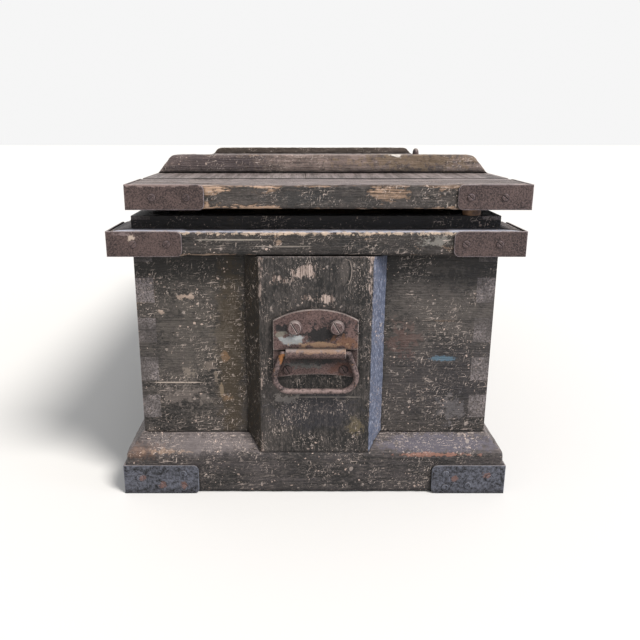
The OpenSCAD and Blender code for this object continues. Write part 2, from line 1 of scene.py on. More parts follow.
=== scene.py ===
import math

import bpy
import numpy as np
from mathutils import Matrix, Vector


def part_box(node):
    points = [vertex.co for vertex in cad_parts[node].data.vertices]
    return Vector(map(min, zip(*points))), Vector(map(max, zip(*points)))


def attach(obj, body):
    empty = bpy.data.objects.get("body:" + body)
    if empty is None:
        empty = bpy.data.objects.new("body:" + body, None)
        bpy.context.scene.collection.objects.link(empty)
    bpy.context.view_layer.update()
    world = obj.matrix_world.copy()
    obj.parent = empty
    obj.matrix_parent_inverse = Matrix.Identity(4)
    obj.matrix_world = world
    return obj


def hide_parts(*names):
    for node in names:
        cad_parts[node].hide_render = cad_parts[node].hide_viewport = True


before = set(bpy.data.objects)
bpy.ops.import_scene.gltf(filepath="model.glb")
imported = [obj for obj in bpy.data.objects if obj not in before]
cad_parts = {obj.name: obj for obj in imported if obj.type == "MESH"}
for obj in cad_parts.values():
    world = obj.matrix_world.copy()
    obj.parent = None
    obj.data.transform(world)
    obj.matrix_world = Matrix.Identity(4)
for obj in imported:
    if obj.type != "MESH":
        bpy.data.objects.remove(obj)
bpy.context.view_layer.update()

# The studio is a plain pale floor under a white sky, with a soft light high on the right and a
# faint cool one beside the chest's front. The camera stands off the near end, a little behind
# the middle of the chest and just above the lid, and looks down along it.
CAMERA_OUT = 0.8012
CAMERA_X = -0.0233
CAMERA_Z = 0.4689
CAMERA_PITCH = 16.2
CAMERA_LENS = 38.26
CAMERA_SHIFT = (0.0363, 0.0031)
end_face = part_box("lid_straps_near")[0].y


def linear(hex_colour):
    """The linear colour of an sRGB hex value such as #8a7358."""
    channels = [int(hex_colour[i:i + 2], 16) / 255 for i in (1, 3, 5)]
    return tuple(c / 12.92 if c <= 0.04045 else ((c + 0.055) / 1.055) ** 2.4 for c in channels) + (1.0,)


def add(tree, kind, inputs=(), out=0, stops=None, **settings):
    """Adds a shader node with its settings, input values or links, and ramp stops; gives an output."""
    made = tree.nodes.new("ShaderNode" + kind)
    for name, value in settings.items():
        setattr(made, name, value)
    for name, value in (inputs.items() if isinstance(inputs, dict) else enumerate(inputs)):
        if isinstance(value, bpy.types.NodeSocket):
            tree.links.new(value, made.inputs[name])
        else:
            made.inputs[name].default_value = linear(value) if isinstance(value, str) else value
    for place, (position, value) in enumerate(stops or ()):
        ramp = made.color_ramp.elements
        element = ramp[place] if place < len(ramp) else ramp.new(position)
        element.position = position
        element.color = linear(value) if isinstance(value, str) else (value, value, value, 1.0)
    return made.outputs[out]


camera_data = bpy.data.cameras.new("camera")
camera_data.lens = CAMERA_LENS
camera_data.sensor_width = 36
camera_data.shift_x = CAMERA_SHIFT[0]
camera_data.shift_y = CAMERA_SHIFT[1]
camera = bpy.data.objects.new("camera", camera_data)
camera.location = (CAMERA_X, end_face - CAMERA_OUT, CAMERA_Z)
camera.rotation_euler = (math.radians(90 - CAMERA_PITCH), 0, 0)
bpy.context.scene.collection.objects.link(camera)
bpy.context.scene.camera = camera

world = bpy.data.worlds.new("white_sky")
world.use_nodes = True
sky = world.node_tree.nodes["Background"]
sky.inputs["Color"].default_value = linear("#ffffff")
sky.inputs["Strength"].default_value = 0.92
bpy.context.scene.world = world
bpy.context.scene.view_settings.view_transform = "Standard"

daylight = bpy.data.lights.new("soft_daylight", "SUN")
daylight.energy = 5.4
daylight.angle = math.radians(20)
daylight.color = linear("#fffaf3")[:3]
sun = bpy.data.objects.new("soft_daylight", daylight)
sun.rotation_euler = Vector((0.50, -0.42, 0.76)).to_track_quat("Z", "Y").to_euler()
bpy.context.scene.collection.objects.link(sun)

side_fill = bpy.data.lights.new("cool_side_fill", "AREA")
side_fill.size = 0.9
side_fill.energy = 12
side_fill.color = linear("#c4d4ff")[:3]
fill = bpy.data.objects.new("cool_side_fill", side_fill)
fill.location = (2.3, -1.1, 0.75)
fill.rotation_euler = Vector((2.3, -0.6, 0.5)).to_track_quat("Z", "Y").to_euler()
bpy.context.scene.collection.objects.link(fill)

floor_paint = bpy.data.materials.new("matt_white_studio_paint")
floor_paint.use_nodes = True
floor_shader = floor_paint.node_tree.nodes["Principled BSDF"]
floor_shader.inputs["Base Color"].default_value = linear("#b9b9b9")
floor_shader.inputs["Roughness"].default_value = 0.95
floor_shader.inputs["Specular IOR Level"].default_value = 0.1
bpy.ops.mesh.primitive_plane_add(size=30, location=(0, 0, 0))
studio_floor = bpy.context.object
studio_floor.name = "studio_floor"
studio_floor.data.materials.append(floor_paint)

# The walls are 23 mm pine boards, two to a wall, dovetailed at the corners and planed by hand.
# They were painted dark green over a hundred years ago; the paint has gone nearly black, and
# knocks, scratches and damp have taken it off in flakes down to the orange or grey-brown wood.

# Pairs of colours are the darkest and the lightest of a mottle; pairs of sizes are a pattern's
# length along the grain and width across it, in metres.
PANEL = ("#110f0e", "#3a3532")
BARE = ("#3d302a", "#95806f")
END_GRAIN = ("#393433", "#726b6c")
CHIPS = ("#b5a196", "#90857f")
DARK_CHIP = "#12100e"
PAINT_SCRATCH = "#a0938b"
CHALK = "#4a4441"
SILVERED = ("#3e3534", "#8a7f7e")
FIBRE = (0.040, 0.0016)
GROWTH_RING = (0.30, 0.009)
PAINT_STREAK = (0.09, 0.004)
MOTTLE = (0.006, 0.0022)
FLAKE = (0.014, 0.0035)
# The wear that paint bears where flaking is 0, how much less it bears where flaking is 1, and
# the wear that an edge adds
PAINT_HOLDS = 0.70
FLAKING_STEP = 0.16
EDGE_WEAR = 0.13
# Knocks: cell sizes in metres with each one's share of the colour, and the limit that keeps
# most cells whole
KNOCKS = ((0.0044, 0.9), (0.0085, 0.75), (0.0060, 0.75))
KNOCK_LIMIT = 0.285
# Scratches: the turn of the stroke, its length and width in metres, and how rare it is
STROKES = (((0.15, 0.1, 0.1), 0.022, 0.0012, 0.645), ((0.6, 0.7, 0.7), 0.017, 0.0016, 0.66),
           ((-0.5, -0.6, -0.6), 0.022, 0.0014, 0.66), ((1.1, 1.2, 1.2), 0.015, 0.0017, 0.67))
RELIEF = 0.0022
# The wander of a mark's outline: how fine it is, and how far it goes where ragged is 1
WANDER_SCALE = 130.0
WANDER = 9


def grain_vector(tree, place, grain, size):
    """Object coordinates counted in lengths along the grain's axis and in widths across it."""
    factor = [1 / (size[0] if axis == grain else size[1]) for axis in "XYZ"]
    return add(tree, "VectorMath", [place, factor], operation="MULTIPLY")


def mark(tree, place, centre, reach, ragged=0.35, soft=0.25):
    """A mask that is 1 within a reach of a centre, both in mm. Ragged is how far its outline
    wanders, and soft is the share of its reach over which it fades."""
    apart = add(tree, "VectorMath", [place, [c / 1000 for c in centre]], operation="SUBTRACT")
    apart = add(tree, "VectorMath", [apart, [1000 / r for r in reach]], operation="MULTIPLY")
    far = add(tree, "VectorMath", [apart], out="Value", operation="LENGTH")
    rough = add(tree, "TexNoise", {"Vector": place, "Scale": WANDER_SCALE, "Detail": 6.0,
                                   "Roughness": 0.75})
    rough = add(tree, "Math", [rough, 0.5], operation="SUBTRACT")
    far = add(tree, "Math", [rough, WANDER * ragged, far], operation="MULTIPLY_ADD")
    return add(tree, "ValToRGB", [far], stops=[(max(1 - soft, 0), 1.0), (1.0, 0.0)])


def painted_pine(name, grain, paint=PANEL, bare=BARE, flaking=0.4, edges="bevel", dust=0.5,
                 scratches=0.8, bloom=CHALK, marks=(), bare_marks=(), sides=()):
    """Old paint on pine: grain is the board's lengthwise axis, and dust greys what faces up. A
    mark is a centre, a reach, a colour and an amount; a bare mark is where more paint is lost;
    a side is a direction, a pair of colours and an amount of painted light and shade."""
    material = bpy.data.materials.new(name)
    material.use_nodes = True
    tree = material.node_tree
    shader = tree.nodes["Principled BSDF"]
    place = add(tree, "TexCoord", out="Object")
    facing = add(tree, "TexCoord", out="Normal")

    # The wood: narrow fibres within broad growth rings
    fibre = add(tree, "TexNoise", {"Vector": grain_vector(tree, place, grain, FIBRE), "Scale": 1.0,
                                   "Detail": 5.0, "Roughness": 0.65})
    rings = add(tree, "TexNoise", {"Vector": grain_vector(tree, place, grain, GROWTH_RING), "Scale": 1.0,
                                   "Detail": 3.0, "Roughness": 0.5})
    figure = add(tree, "Math", [fibre, 0.6, add(tree, "Math", [rings, 0.4], operation="MULTIPLY")],
                 operation="MULTIPLY_ADD")
    wood = add(tree, "ValToRGB", [figure], stops=[(0.41, bare[0]), (0.57, bare[1])])

    # The paint: clouded, with darker streaks along the grain
    cloud = add(tree, "TexNoise", {"Vector": place, "Scale": 16.0, "Detail": 8.0, "Roughness": 0.68})
    streak = add(tree, "TexNoise", {"Vector": grain_vector(tree, place, grain, PAINT_STREAK),
                                    "Scale": 1.0, "Detail": 6.0, "Roughness": 0.7})
    tone = add(tree, "Math", [cloud, 0.55, add(tree, "Math", [streak, 0.45], operation="MULTIPLY")],
               operation="MULTIPLY_ADD")
    coat = add(tree, "ValToRGB", [tone], stops=[(0.435, paint[0]), (0.57, paint[1])])
    mottle = add(tree, "TexNoise", {"Vector": grain_vector(tree, place, grain, MOTTLE), "Scale": 1.0,
                                    "Detail": 6.0, "Roughness": 0.8})
    chalk = add(tree, "ValToRGB", [mottle], stops=[(0.50, 0.0), (0.63, 0.95)])
    coat = add(tree, "Mix", {0: chalk, 6: coat, 7: bloom}, out=2, data_type="RGBA")

    # Where the paint has gone: in clusters of flakes along the grain, most of all on worn edges
    area = add(tree, "TexNoise", {"Vector": place, "Scale": 24.0, "Detail": 5.0, "Roughness": 0.6})
    flake = add(tree, "TexNoise", {"Vector": grain_vector(tree, place, grain, FLAKE), "Scale": 1.0,
                                   "Detail": 8.0, "Roughness": 0.75})
    loss = add(tree, "Math", [flake, 0.5, add(tree, "Math", [area, 0.5], operation="MULTIPLY")],
               operation="MULTIPLY_ADD")
    if edges == "bevel":
        rounded = add(tree, "Bevel", {"Radius": 0.004}, samples=6)
        flat = add(tree, "NewGeometry", out="Normal")
        turned = add(tree, "VectorMath", [rounded, flat], out="Value", operation="DOT_PRODUCT")
        edge = add(tree, "ValToRGB", [turned], stops=[(0.80, 1.0), (0.995, 0.0)])
    else:
        reach = add(tree, "Attribute", out="Fac", attribute_name="edge_mm")
        edge = add(tree, "ValToRGB", [add(tree, "Math", [reach, 10.0], operation="DIVIDE")],
                   stops=[(0.05, 1.0), (0.45, 0.0)])
    loss = add(tree, "Math", [edge, EDGE_WEAR, loss], operation="MULTIPLY_ADD")
    for centre, size, amount in bare_marks:
        loss = add(tree, "Math", [mark(tree, place, centre, size, 0.2, 0.7), amount, loss],
                   operation="MULTIPLY_ADD")
    start = PAINT_HOLDS - FLAKING_STEP * flaking
    lost = add(tree, "ValToRGB", [loss], stops=[(start, 0.0), (start + 0.025, 1.0)])
    colour = add(tree, "Mix", {0: lost, 6: coat, 7: wood}, out=2, data_type="RGBA")

    # Dust and weather grey what faces up
    up = add(tree, "SeparateXYZ", [facing], out=2)
    silver = add(tree, "ValToRGB", [up], stops=[(0.35, 0.0), (0.85, 1.0)])
    patchy = add(tree, "ValToRGB", [streak], stops=[(0.3, 0.4), (0.62, 1.0)])
    silver = add(tree, "Math", [silver, patchy], operation="MULTIPLY")
    silver = add(tree, "Math", [silver, dust], operation="MULTIPLY")
    weathered = add(tree, "ValToRGB", [figure], stops=[(0.42, SILVERED[0]), (0.56, SILVERED[1])])
    colour = add(tree, "Mix", {0: silver, 6: colour, 7: weathered}, out=2, data_type="RGBA")

    # End grain, where a face looks along the board, is a speckled grey
    across = add(tree, "SeparateXYZ", [facing], out="XYZ".index(grain))
    across = add(tree, "Math", [add(tree, "Math", [across], operation="ABSOLUTE"), 0.7],
                 operation="GREATER_THAN")
    pore = add(tree, "TexNoise", {"Vector": place, "Scale": 420.0, "Detail": 4.0, "Roughness": 0.7})
    speckled = add(tree, "ValToRGB", [pore], stops=[(0.40, END_GRAIN[0]), (0.60, END_GRAIN[1])])
    patchy = add(tree, "ValToRGB", [area], stops=[(0.40, 0.25), (0.56, 1.0)])
    across = add(tree, "Math", [across, patchy], operation="MULTIPLY")
    colour = add(tree, "Mix", {0: across, 6: colour, 7: speckled}, out=2, data_type="RGBA")

    # Painted light and shade on the sides, by the way they face
    for way, tint, amount in sides:
        faced = add(tree, "VectorMath", [facing, way], out="Value", operation="DOT_PRODUCT")
        faced = add(tree, "ValToRGB", [faced], stops=[(0.38, 0.0), (0.58, amount)])
        shade = add(tree, "Mix", {0: chalk, 6: tint[0], 7: tint[1]}, out=2, data_type="RGBA")
        colour = add(tree, "Mix", {0: faced, 6: colour, 7: shade}, out=2, data_type="RGBA")

    # Stains, smears and repairs in their own places
    for centre, size, tint, amount, *ragged in marks:
        here = mark(tree, place, centre, size, *ragged)
        here = add(tree, "Math", [here, amount], operation="MULTIPLY")
        colour = add(tree, "Mix", {0: here, 6: colour, 7: tint}, out=2, data_type="RGBA")

    # Knocks: chips a few millimetres across, pale or dark, thick in some places and few in others
    bent = add(tree, "TexNoise", {"Vector": place, "Scale": 300.0, "Detail": 3.0}, out="Color")
    bent = add(tree, "VectorMath", [bent, (0.006, 0.006, 0.006), place], operation="MULTIPLY_ADD")
    crowd = add(tree, "TexNoise", {"Vector": place, "Scale": 19.0, "Detail": 4.0, "Roughness": 0.6})
    for (spacing, share), tint in zip(KNOCKS, (*CHIPS, DARK_CHIP)):
        cell = {"Vector": bent, "Scale": 1 / spacing}
        apart = add(tree, "TexVoronoi", cell, out="Distance")
        pick = add(tree, "SeparateColor", [add(tree, "TexVoronoi", cell, out="Color")])
        size = add(tree, "Math", [pick, crowd], operation="MULTIPLY")
        size = add(tree, "Math", [size, KNOCK_LIMIT], operation="SUBTRACT")
        here = add(tree, "Math", [size, apart], operation="SUBTRACT")
        here = add(tree, "ValToRGB", [here], stops=[(0.0, 0.0), (0.06, share * scratches)])
        colour = add(tree, "Mix", {0: here, 6: colour, 7: tint}, out=2, data_type="RGBA")

    # Scratches: hairlines along the board and across it, clustered like the knocks
    gate = add(tree, "ValToRGB", [area], stops=[(0.45, 0.0), (0.56, 1.0)])
    for turn, long, wide, rare in STROKES:
        turned = add(tree, "Mapping", {"Vector": place, "Rotation": turn})
        stroke = add(tree, "TexNoise", {"Vector": grain_vector(tree, turned, grain, (long, wide)),
                                        "Scale": 1.0, "Detail": 2.0, "Roughness": 0.5})
        stroke = add(tree, "ValToRGB", [stroke], stops=[(rare, 0.0), (rare + 0.03, scratches)])
        stroke = add(tree, "Math", [stroke, gate], operation="MULTIPLY")
        colour = add(tree, "Mix", {0: stroke, 6: colour, 7: PAINT_SCRATCH}, out=2, data_type="RGBA")

    # Painted shade from ambient occlusion, black in inside corners and under overhangs
    open_air = add(tree, "AmbientOcclusion", {"Distance": 0.02}, out="AO", samples=8)
    painted_crevice_shade = add(tree, "ValToRGB", [open_air], stops=[(0.30, "#3a342e"), (0.85, "#ffffff")])
    colour = add(tree, "Mix", {0: 1.0, 6: colour, 7: painted_crevice_shade}, out=2, data_type="RGBA",
                 blend_type="MULTIPLY")
    tree.links.new(colour, shader.inputs["Base Color"])

    # Bare wood is dull and furrowed; the paint round it is smoother and stands a little proud
    dull = add(tree, "ValToRGB", [lost], stops=[(0.0, 0.55), (1.0, 0.85)])
    tree.links.new(dull, shader.inputs["Roughness"])
    height = add(tree, "Math", [lost, -0.35, figure], operation="MULTIPLY_ADD")
    height = add(tree, "Math", [mottle, 0.5, height], operation="MULTIPLY_ADD")
    bump = add(tree, "Bump", {"Height": height, "Distance": RELIEF, "Strength": 1.0})
    tree.links.new(bump, shader.inputs["Normal"])
    shader.inputs["Specular IOR Level"].default_value = 0.35
    return material


def dress(nodes, material):
    """Gives CAD nodes a material in place of their own."""
    for node in nodes:
        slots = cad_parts[node].data.materials
        slots.clear()
        slots.append(material)


# On the near end: painted shade under the collar and on the rim, an olive tint darkened with
# the stile's painted shadow and the ochre stains beside the stile, scraped patches, two smears
# of old paint and thin cracks
near_panel_marks_and_shade = (
    ((0, -520, 298), (600, 20, 27), "#1a1816", 0.72, 0.12, 0.5),
    ((170, -520, 150), (110, 20, 75), "#211d21", 0.5, 0.3, 0.6),
    ((-150, -520, 270), (90, 20, 55), "#22201b", 0.25, 0.35),
    ((128, -520, 229), (110, 20, 0.7), "#0f0d0c", 0.8, 0.03),
    ((216, -520, 126), (16, 20, 0.7), "#0f0d0c", 0.8, 0.03),
    ((0, -520, 357), (600, 20, 10), "#100e10", 0.94, 0.1),
    # Olive tint darkened with the stile's painted shadow
    ((-107, -520, 190), (24, 20, 170), "#33291a", 0.75, 0.3, 0.5),
    ((-115, -520, 183), (6, 20, 7), "#77583a", 0.5, 0.4),
    ((-114, -520, 126), (7, 20, 6), "#735a42", 0.55, 0.35, 0.6),
    ((-121, -520, 137), (2.5, 20, 10), "#85745f", 0.5, 0.35),
    ((-128, -520, 156), (3, 20, 10), "#7a6d62", 0.5, 0.45),
    ((-135, -520, 170), (7, 20, 8), "#73675f", 0.55, 0.6),
    ((-160, -520, 262), (13, 20, 3), "#a08d80", 0.8, 0.9),
    ((-177, -520, 147), (38, 20, 1.1), "#a3968c", 0.8, 0.06),
    ((-194, -520, 243), (4, 20, 4), "#a08d80", 0.7, 0.6),
    ((-165, -520, 161), (8, 20, 7), "#7d7268", 0.6, 0.8),
    ((-172, -520, 130), (30, 20, 12), "#6a615d", 0.5, 0.8),
    ((-160, -520, 205), (40, 20, 60), "#5a544e", 0.3, 0.9),
    ((114, -520, 208), (20, 20, 18), "#573a33", 0.4, 0.9),
    ((166, -520, 180), (18, 20, 4), "#4f6d80", 0.55, 0.3),
    ((185, -520, 127), (13, 20, 1.6), "#141210", 0.95, 0.05),
    ((178, -520, 112), (14, 20, 16), "#6d696b", 0.35, 0.9),
    ((150, -520, 250), (60, 20, 40), "#59534e", 0.25, 0.9),
)
# Nearly black, cool and dull, with pale chips and fine scratches; end grain shows paler
wall_paint_x = painted_pine("dark_green_paint_on_pine_end", "X", marks=near_panel_marks_and_shade, flaking=0.25)
wall_paint_y = painted_pine("dark_green_paint_on_pine_side", "Y", flaking=0.3, scratches=0.6)
dress([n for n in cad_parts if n.startswith("end_wall")], wall_paint_x)
dress([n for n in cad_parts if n.startswith(("front_wall", "back_wall"))], wall_paint_y)

# The floor is of short boards laid across, on three skids that run lengthwise. It is plain
# pine, never painted, and grubby with sawdust and iron dust from the tools.

# Warm tan under grey dirt, with the grain plain to see
GRUBBY = ("#5c4c3a", "#7d6a52")
raw_pine = painted_pine("bare_grubby_pine_across", "X", GRUBBY, flaking=0.2, dust=0.1, scratches=0.3)
raw_pine_long = painted_pine("bare_grubby_pine_lengthwise", "Y", GRUBBY, flaking=0.2, dust=0.1,
                             scratches=0.3)
dress(["floor_boards"], raw_pine)
dress(["floor_skids"], raw_pine_long)

# The plinth is a rail round the foot, mitred at the corners, nailed on, with its upper edge
# planed to a 45 degree bevel. Boots and floors have worn its edges and outer corners round, so
# the four rails are one worn ring here.

# Where the straps start and where the walls' faces are, in x and y from the chest's middle; the
# top of the straps on the plinth; and how far from each the wear sets in. All in metres.
STRAP_STARTS = np.array((0.155, 0.452))
WALL_FACES = np.array((0.2245, 0.5195))
PLINTH_STRAP_TOP = 0.042
STRAP_FADE = 0.006
WALL_FADE = 0.008
END_FADE = 0.004
WORN_VOXEL = 0.0022
# The least area of a broad face in square metres, how far outside a plane still counts as on
# it, and the cosine of the 30 degrees at which two faces meet in an edge
BROAD_FACE = 0.00012
ON_PLANE = 0.0005
SAME_PLANE = 0.87


def worn_board(nodes, body, voxel=WORN_VOXEL, rounding=5, hollow=0.0012, strap_top=1.0,
               tight=False):
    """The worn copy of a CAD node, or of several that make a ring: its edges are rounded and
    its faces no longer flat, but not under the corner straps, nor against the walls for a ring,
    nor at both ends of a tight one. Its points carry edge_mm, their distance from an edge."""
    bpy.ops.object.select_all(action="DESELECT")
    for node in nodes:
        board = bpy.data.objects.new("worn_" + node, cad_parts[node].data.copy())
        board.data.materials.clear()
        bpy.context.scene.collection.objects.link(board)
        board.select_set(True)
        bpy.context.view_layer.objects.active = board
    bpy.ops.object.join()
    bpy.ops.object.mode_set(mode="EDIT")
    bpy.ops.mesh.select_all(action="SELECT")
    bpy.ops.mesh.remove_doubles(threshold=0.00001)
    bpy.ops.object.mode_set(mode="OBJECT")
    # The planes of the broad faces, for telling later how far a point is from an edge; of a
    # ring of boards, only the outer ones
    faces = {}
    for face in board.data.polygons:
        key = tuple(round(c, 2) for c in face.normal) + (round(face.normal.dot(face.center), 4),)
        faces[key] = faces.get(key, 0) + face.area
    planes = np.array([key for key, area in faces.items() if area > BROAD_FACE])
    if len(nodes) > 1:
        corners = np.array([corner.co for corner in board.data.vertices])
        planes = planes[(corners @ planes[:, :3].T - planes[:, 3]).max(axis=0) < ON_PLANE]
    remesh = board.modifiers.new("even_faces", "REMESH")
    remesh.mode = "VOXEL"
    remesh.voxel_size = voxel
    bpy.ops.object.modifier_apply(modifier=remesh.name)

    points = np.empty(len(board.data.vertices) * 3)
    board.data.vertices.foreach_get("co", points)
    points = points.reshape(-1, 3)
    near_corner = np.clip((np.abs(points[:, :2]) - STRAP_STARTS) / STRAP_FADE, 0, 1).min(axis=1)
    free = 1 - near_corner * (points[:, 2] < strap_top)
    if len(nodes) > 1:
        off_wall = (np.abs(points[:, :2]) - WALL_FACES).max(axis=1)
        free *= np.clip(off_wall / WALL_FADE - 0.5, 0, 1)
    low, high = points[:, 2].min(), points[:, 2].max()
    if tight:
        off_end = np.minimum(points[:, 2] - low, high - points[:, 2])
        free *= np.clip(off_end / END_FADE - 0.5, 0, 1)
    group = board.vertex_groups.new(name="free_of_straps")
    free = np.round(free, 1)
    for weight in np.unique(free):
        group.add([int(i) for i in np.flatnonzero(free == weight)], float(weight), "REPLACE")
    smooth = board.modifiers.new("rounded_edges", "SMOOTH")
    smooth.factor = 0.5
    smooth.iterations = rounding
    smooth.vertex_group = group.name
    # Broad hollows 60 mm apart and small knocks 9 mm apart
    for name, size, depth in (("hollows", 0.06, hollow), ("knocks", 0.009, hollow * 1.1)):
        texture = bpy.data.textures.new(name, "CLOUDS")
        texture.noise_scale = size
        dents = board.modifiers.new(name, "DISPLACE")
        dents.texture = texture
        dents.texture_coords = "LOCAL"
        dents.mid_level = 0.8
        dents.strength = depth
        dents.vertex_group = group.name
    for modifier in list(board.modifiers):
        bpy.ops.object.modifier_apply(modifier=modifier.name)
    bpy.ops.object.shade_smooth()

    # An edge is where a point's own plane meets one that is turned from it
    board.data.vertices.foreach_get("co", points.reshape(-1))
    away = np.abs(points @ planes[:, :3].T - planes[:, 3])
    own = away.argmin(axis=1)
    away[planes[own, :3] @ planes[:, :3].T > SAME_PLANE] = 1
    edge_mm = board.data.attributes.new("edge_mm", "FLOAT", "POINT")
    edge_mm.data.foreach_set("value", away.min(axis=1) * 1000)
    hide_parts(*nodes)
    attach(board, body)
    return board


# Dust on the bevel, and bare wood along its lower edge
plinth_marks = (
    ((-150, -530, 66), (90, 30, 13), "#665f60", 0.5, 0.4, 0.5),
    ((165, -530, 66), (90, 30, 13), "#494651", 0.75, 0.3, 0.4),
    ((160, -543, 55), (50, 30, 2.6), "#80594a", 0.7, 0.6),
    ((-225, -535, 57), (30, 40, 12), "#5e4638", 0.6, 0.4, 0.7),
    ((-196, -543, 58), (26, 30, 3.0), "#86705f", 0.5, 0.6),
)
# Purple-black below, dusty grey on the bevel, with raw red-brown wood along its worn edge
KICKED = ("#100e0e", "#353031")
plinth_paint_x = painted_pine("kicked_green_paint_on_pine_end", "X", KICKED, edges="attribute",
                              flaking=0.42, dust=0.42, marks=plinth_marks)
plinth_paint_y = painted_pine("kicked_green_paint_on_pine_side", "Y", KICKED, edges="attribute",
                              flaking=0.42, dust=0.55)
rails = ("plinth_near", "plinth_far", "plinth_front", "plinth_back")
plinth = worn_board(rails, "chest", 0.003, 22, strap_top=PLINTH_STRAP_TOP)
plinth.name = "worn_plinth"
plinth.data.materials.append(plinth_paint_x)
plinth.data.materials.append(plinth_paint_y)
for face in plinth.data.polygons:
    face.material_index = abs(face.center.y) - WALL_FACES[1] < abs(face.center.x) - WALL_FACES[0]

# A stile stands on each end's plinth and carries the handle. Its two sides are bevelled: the
# back one carries a dark brown painted shade, and the front one a chalky blue-grey painted highlight.

# On its face: a joint line and a crescent crack at the top, white scrapes and a scratch below
stile_marks = (
    ((52, -544, 225), (1.2, 8, 120), "#120f0d", 0.85, 0.05),
    ((-38, -544, 133), (18, 8, 6), "#8b847e", 0.6, 0.9),
    ((38, -544, 298), (6, 9, 17), "#8a7f78", 0.8, 0.04, 0.1),
    ((37, -544, 298), (6, 9, 17), "#080706", 1.0, 0.04, 0.1),
    ((34.5, -544, 299), (6, 9, 17), "#3d3835", 1.0, 0.04, 0.1),
    ((44, -544, 250), (0.8, 8, 60), "#1a1614", 0.6, 0.05),
    ((15, -544, 136), (50, 8, 1.1), "#7d766f", 0.7, 0.05),
    ((54, -544, 98), (12, 8, 12), "#62573f", 0.5, 0.6),
    ((0, -544, 118), (64, 8, 30), "#26252d", 0.4, 0.3),
)
stile_bare = (
    ((-20, -544, 286), (60, 8, 30), 0.07),
    ((-48, -544, 290), (14, 8, 18), 0.12),
    ((12, -544, 265), (30, 8, 10), 0.20),
    ((-14, -544, 264), (14, 8, 10), 0.19),
    ((-10, -544, 300), (20, 8, 12), 0.15),
    ((-40, -544, 132), (34, 8, 14), 0.06),
)
# Painted shade on the back bevel, dark brown, and a painted cool highlight on the front one
stile_painted_shade_and_highlight = (
    ((-1, 0, 0), ("#140e06", "#302310"), 0.97),
    ((1, 0, 0), ("#43495a", "#7c8292"), 0.94),
)
stile_paint = painted_pine("green_paint_on_upright_pine", "Z", ("#0f0e0d", "#302c2a"),
                           ("#453934", "#a2928a"), edges="attribute", flaking=0.40, marks=stile_marks,
                           bare_marks=stile_bare, sides=stile_painted_shade_and_highlight)
for node in ("stile_near", "stile_far"):
    worn_board((node,), "chest", rounding=3, tight=True).data.materials.append(stile_paint)

# The collar is a mitred rail round the walls, a little below their tops, that stiffens them.
# Hands and tools have worn its upper edge pale, and flakes of paint are gone below it. Its top
# and front edge also carry a painted highlight in a cool blue-grey.
collar_bare = (
    ((-40, -543, 345), (230, 30, 5), 0.10),
    ((-120, -543, 318), (60, 30, 5), 0.12),
    ((150, -543, 326), (60, 30, 8), 0.11),
    ((-45, -543, 334), (8, 12, 12), 0.16),
    ((40, -543, 334), (120, 12, 14), 0.04),
)
collar_marks_and_highlight = (
    # Painted highlight: cool blue-grey light on the collar's top and along its front edge
    ((60, -530, 348), (420, 14, 4), "#7c8090", 0.5, 0.1),
    ((0, -541, 348), (420, 8, 3), "#a0a3b0", 0.8, 0.15),
    ((30, -544, 345), (250, 5, 2.2), "#b09d8b", 0.75, 0.9, 0.4),
    ((-100, -543, 337), (50, 12, 1.0), "#8b847b", 0.8, 0.1),
    ((-40, -543, 329), (40, 12, 0.9), "#7f7770", 0.7, 0.1),
    ((146, -543, 336), (16, 12, 5), "#85827c", 0.5, 0.9),
)
HANDLED = ("#0c0a09", "#292421")
collar_paint_x = painted_pine("handled_green_paint_on_pine_end", "X", HANDLED, edges="attribute",
                              bloom="#3b3533", flaking=0.46, dust=0.6, marks=collar_marks_and_highlight,
                              bare_marks=collar_bare)
collar_paint_y = painted_pine("handled_green_paint_on_pine_side", "Y", HANDLED, edges="attribute",
                              flaking=0.46, dust=0.6)
for node in ("collar_near", "collar_far"):
    worn_board((node,), "chest").data.materials.append(collar_paint_x)
for node in ("collar_front", "collar_back"):
    worn_board((node,), "chest", 0.003, 3).data.materials.append(collar_paint_y)

# The lid: three lengthwise boards between two cross-grained clamps. Rain and sun have silvered
# its top to a grey with a lavender cast, and its end still wears flakes of the dark paint.
clamp_bare = (
    ((-105, -543, 396), (100, 12, 10), 0.10),
    ((-105, -543, 377), (100, 12, 8), 0.09),
    ((84, -543, 391), (42, 12, 14), 0.14),
    ((-10, -543, 402), (230, 12, 4), 0.06),
    ((20, -543, 384), (70, 12, 12), -0.06),
)
clamp_marks = (
    ((-8, -543, 386), (50, 12, 10), "#1d1f21", 0.5, 0.5),
    ((50, -543, 385), (60, 12, 8), "#262220", 0.4, 0.6),
)
WEATHERED = ("#110f0e", "#38322f")
lid_paint_x = painted_pine("weathered_paint_on_lid_clamp", "X", WEATHERED, ("#3a2d24", "#a08672"),
                           edges="attribute", flaking=0.72, dust=0.9, marks=clamp_marks,
                           bare_marks=clamp_bare)
lid_paint_y = painted_pine("weathered_paint_on_lid_boards", "Y", WEATHERED, flaking=0.5, dust=0.85,
                           scratches=0.45)
for node in ("lid_clamp_near", "lid_clamp_far"):
    worn_board((node,), "lid").data.materials.append(lid_paint_x)
dress([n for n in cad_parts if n.startswith("lid_board")], lid_paint_y)

